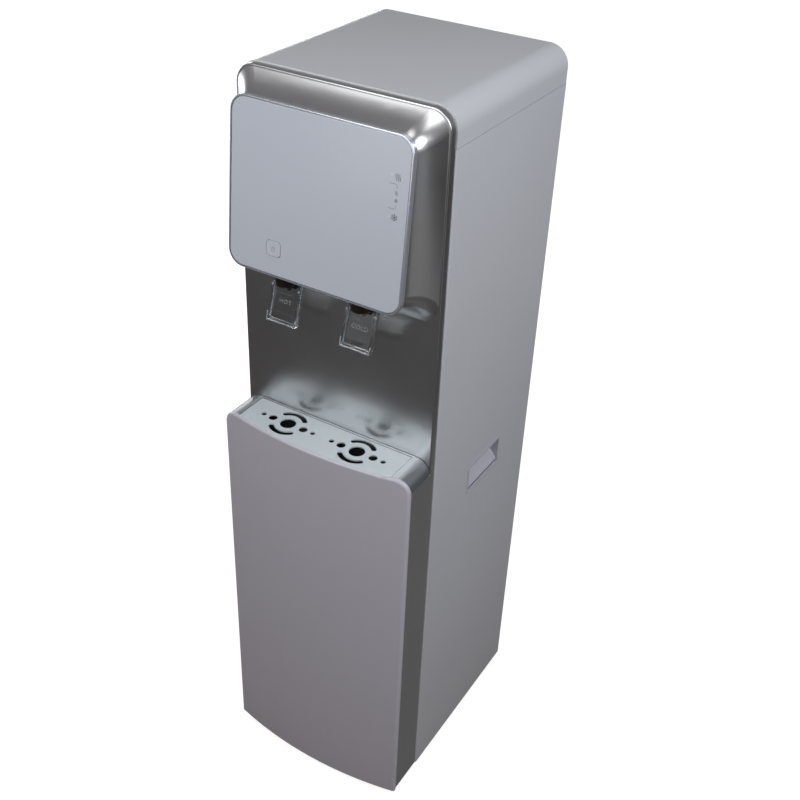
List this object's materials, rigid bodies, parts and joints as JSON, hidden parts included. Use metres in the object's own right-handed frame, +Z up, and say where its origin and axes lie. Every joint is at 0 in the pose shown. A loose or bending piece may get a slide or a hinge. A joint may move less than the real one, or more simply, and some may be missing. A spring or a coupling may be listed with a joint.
{
  "type": "water cooler",
  "caption": "Floor-standing water cooler: white cabinet, silver fascia with a flared pedestal behind a leaning control panel, clear tap levers over a lift-out drip tray, bowed lower panel.",
  "frame": {"origin": "centre of the footprint's bounding box on the floor, under the feet", "axes": "+X to the user's right, +Y towards the back, +Z up"},
  "size_m": [0.3012, 0.378, 1.098],
  "materials": {
    "white_steel": "satin powder coat",
    "white_moulding": "satin gloss",
    "control_face": "satin gloss",
    "lock_key": "satin gloss",
    "silver_fascia": "silver paint",
    "bright_bezel": "bright",
    "silver_grille": "silver paint",
    "tray_grey": "matte",
    "clear_lever": "clear",
    "tap_black": "satin",
    "indicator": "clear",
    "zinc_steel": "zinc coated",
    "screw_steel": "bright",
    "black_enamel": "satin enamel",
    "black_plastic": "matte",
    "rubber_black": "matte",
    "copper": "drawn copper",
    "stainless": "brushed",
    "foam": "expanded foam",
    "tube": "silicone",
    "fitting_grey": "matte",
    "board": "satin",
    "rocker_red": "gloss",
    "rocker_green": "gloss"
  },
  "bodies": {
    "cabinet": {"left_side_panel": "white_steel", "right_side_panel": "white_steel", "top_cover": "white_moulding", "lower_front_panel": "white_moulding", "left_grip_cup": "white_moulding", "right_grip_cup": "white_moulding", "control_plate": "control_face", "front_fascia": "silver_fascia", "control_bezel": "bright_bezel", "drip_shelf": "silver_grille", "hot_tap_body": "tap_black", "cold_tap_body": "tap_black", "indicator_lenses": "indicator", "base_pan": "zinc_steel", "rear_panel": "zinc_steel", "rear_grille": "zinc_steel", "tap_bracket": "zinc_steel", "upper_tank_shelf": "zinc_steel", "lower_tank_shelf": "zinc_steel", "rear_screws": "screw_steel", "lever_pins": "screw_steel", "compressor_bolts": "screw_steel", "condenser": "black_enamel", "compressor": "black_enamel", "condenser_clips": "black_plastic", "switch_frames": "black_plastic", "tap_nuts": "black_plastic", "thermostats": "black_plastic", "drain_spout": "black_plastic", "feet": "rubber_black", "compressor_grommets": "rubber_black", "cord_gland": "rubber_black", "refrigerant_pipes": "copper", "filter_drier": "copper", "evaporator": "copper", "cold_tank": "stainless", "hot_tank": "stainless", "heater_band": "stainless", "cold_jacket": "foam", "cold_jacket_lid": "foam", "hot_jacket": "foam", "cold_water_tube": "tube", "hot_water_tube": "tube", "drain_tube": "tube", "inlet_tube": "tube", "inlet_fitting": "fitting_grey", "inlet_valve": "fitting_grey", "control_board": "board"},
    "hot_lever": {"hot_lever": "clear_lever"},
    "cold_lever": {"cold_lever": "clear_lever"},
    "hot_plunger": {"hot_plunger": "tap_black"},
    "cold_plunger": {"cold_plunger": "tap_black"},
    "lock_button": {"lock_button": "lock_key"},
    "drip_tray": {"drip_tray": "tray_grey"},
    "drip_grille": {"drip_grille": "silver_grille"},
    "drain_cap": {"drain_cap": "black_plastic"},
    "heat_switch_rocker": {"heat_switch_rocker": "rocker_red"},
    "cool_switch_rocker": {"cool_switch_rocker": "rocker_green"}
  },
  "joints": [
    {"name": "hot_lever_hinge", "type": "hinge", "parent": "cabinet", "child": "hot_lever", "pos_m": [-0.0564, -0.142, 0.84294], "axis": [1, 0, 0], "range_deg": [0, 14], "stiffness_Nm_per_rad": 0.3, "springref_deg": -5.73},
    {"name": "hot_plunger_slide", "type": "slide", "parent": "cabinet", "child": "hot_plunger", "axis": [0, 1, 0], "range_m": [0, 0.003]},
    {"name": "cold_lever_hinge", "type": "hinge", "parent": "cabinet", "child": "cold_lever", "pos_m": [0.0564, -0.142, 0.84294], "axis": [1, 0, 0], "range_deg": [0, 14], "stiffness_Nm_per_rad": 0.3, "springref_deg": -5.73},
    {"name": "cold_plunger_slide", "type": "slide", "parent": "cabinet", "child": "cold_plunger", "axis": [0, 1, 0], "range_m": [0, 0.003]},
    {"name": "lock_button_press", "type": "slide", "parent": "cabinet", "child": "lock_button", "axis": [0, 0.9959, -0.0899], "range_m": [0, 0.001], "stiffness_N_per_m": 1200, "springref_m": -0.0005},
    {"name": "drip_tray_lift", "type": "slide", "parent": "cabinet", "child": "drip_tray", "axis": [0, 0, 1], "range_m": [0, 0.06]},
    {"name": "drip_grille_lift", "type": "slide", "parent": "drip_tray", "child": "drip_grille", "axis": [0, 0, 1], "range_m": [0, 0.045]},
    {"name": "drain_cap_off", "type": "slide", "parent": "cabinet", "child": "drain_cap", "axis": [0, 1, 0], "range_m": [0, 0.018]},
    {"name": "heat_switch_rock", "type": "hinge", "parent": "cabinet", "child": "heat_switch_rocker", "pos_m": [-0.03, 0.155, 0.985], "axis": [-1, 0, 0], "range_deg": [0, 16]},
    {"name": "cool_switch_rock", "type": "hinge", "parent": "cabinet", "child": "cool_switch_rocker", "pos_m": [0.03, 0.155, 0.985], "axis": [-1, 0, 0], "range_deg": [0, 16]}
  ],
  "couplings": [
    {"joint": "hot_plunger_slide", "follows": "hot_lever_hinge", "m_per_rad": 0.0114},
    {"joint": "cold_plunger_slide", "follows": "cold_lever_hinge", "m_per_rad": 0.0114}
  ]
}
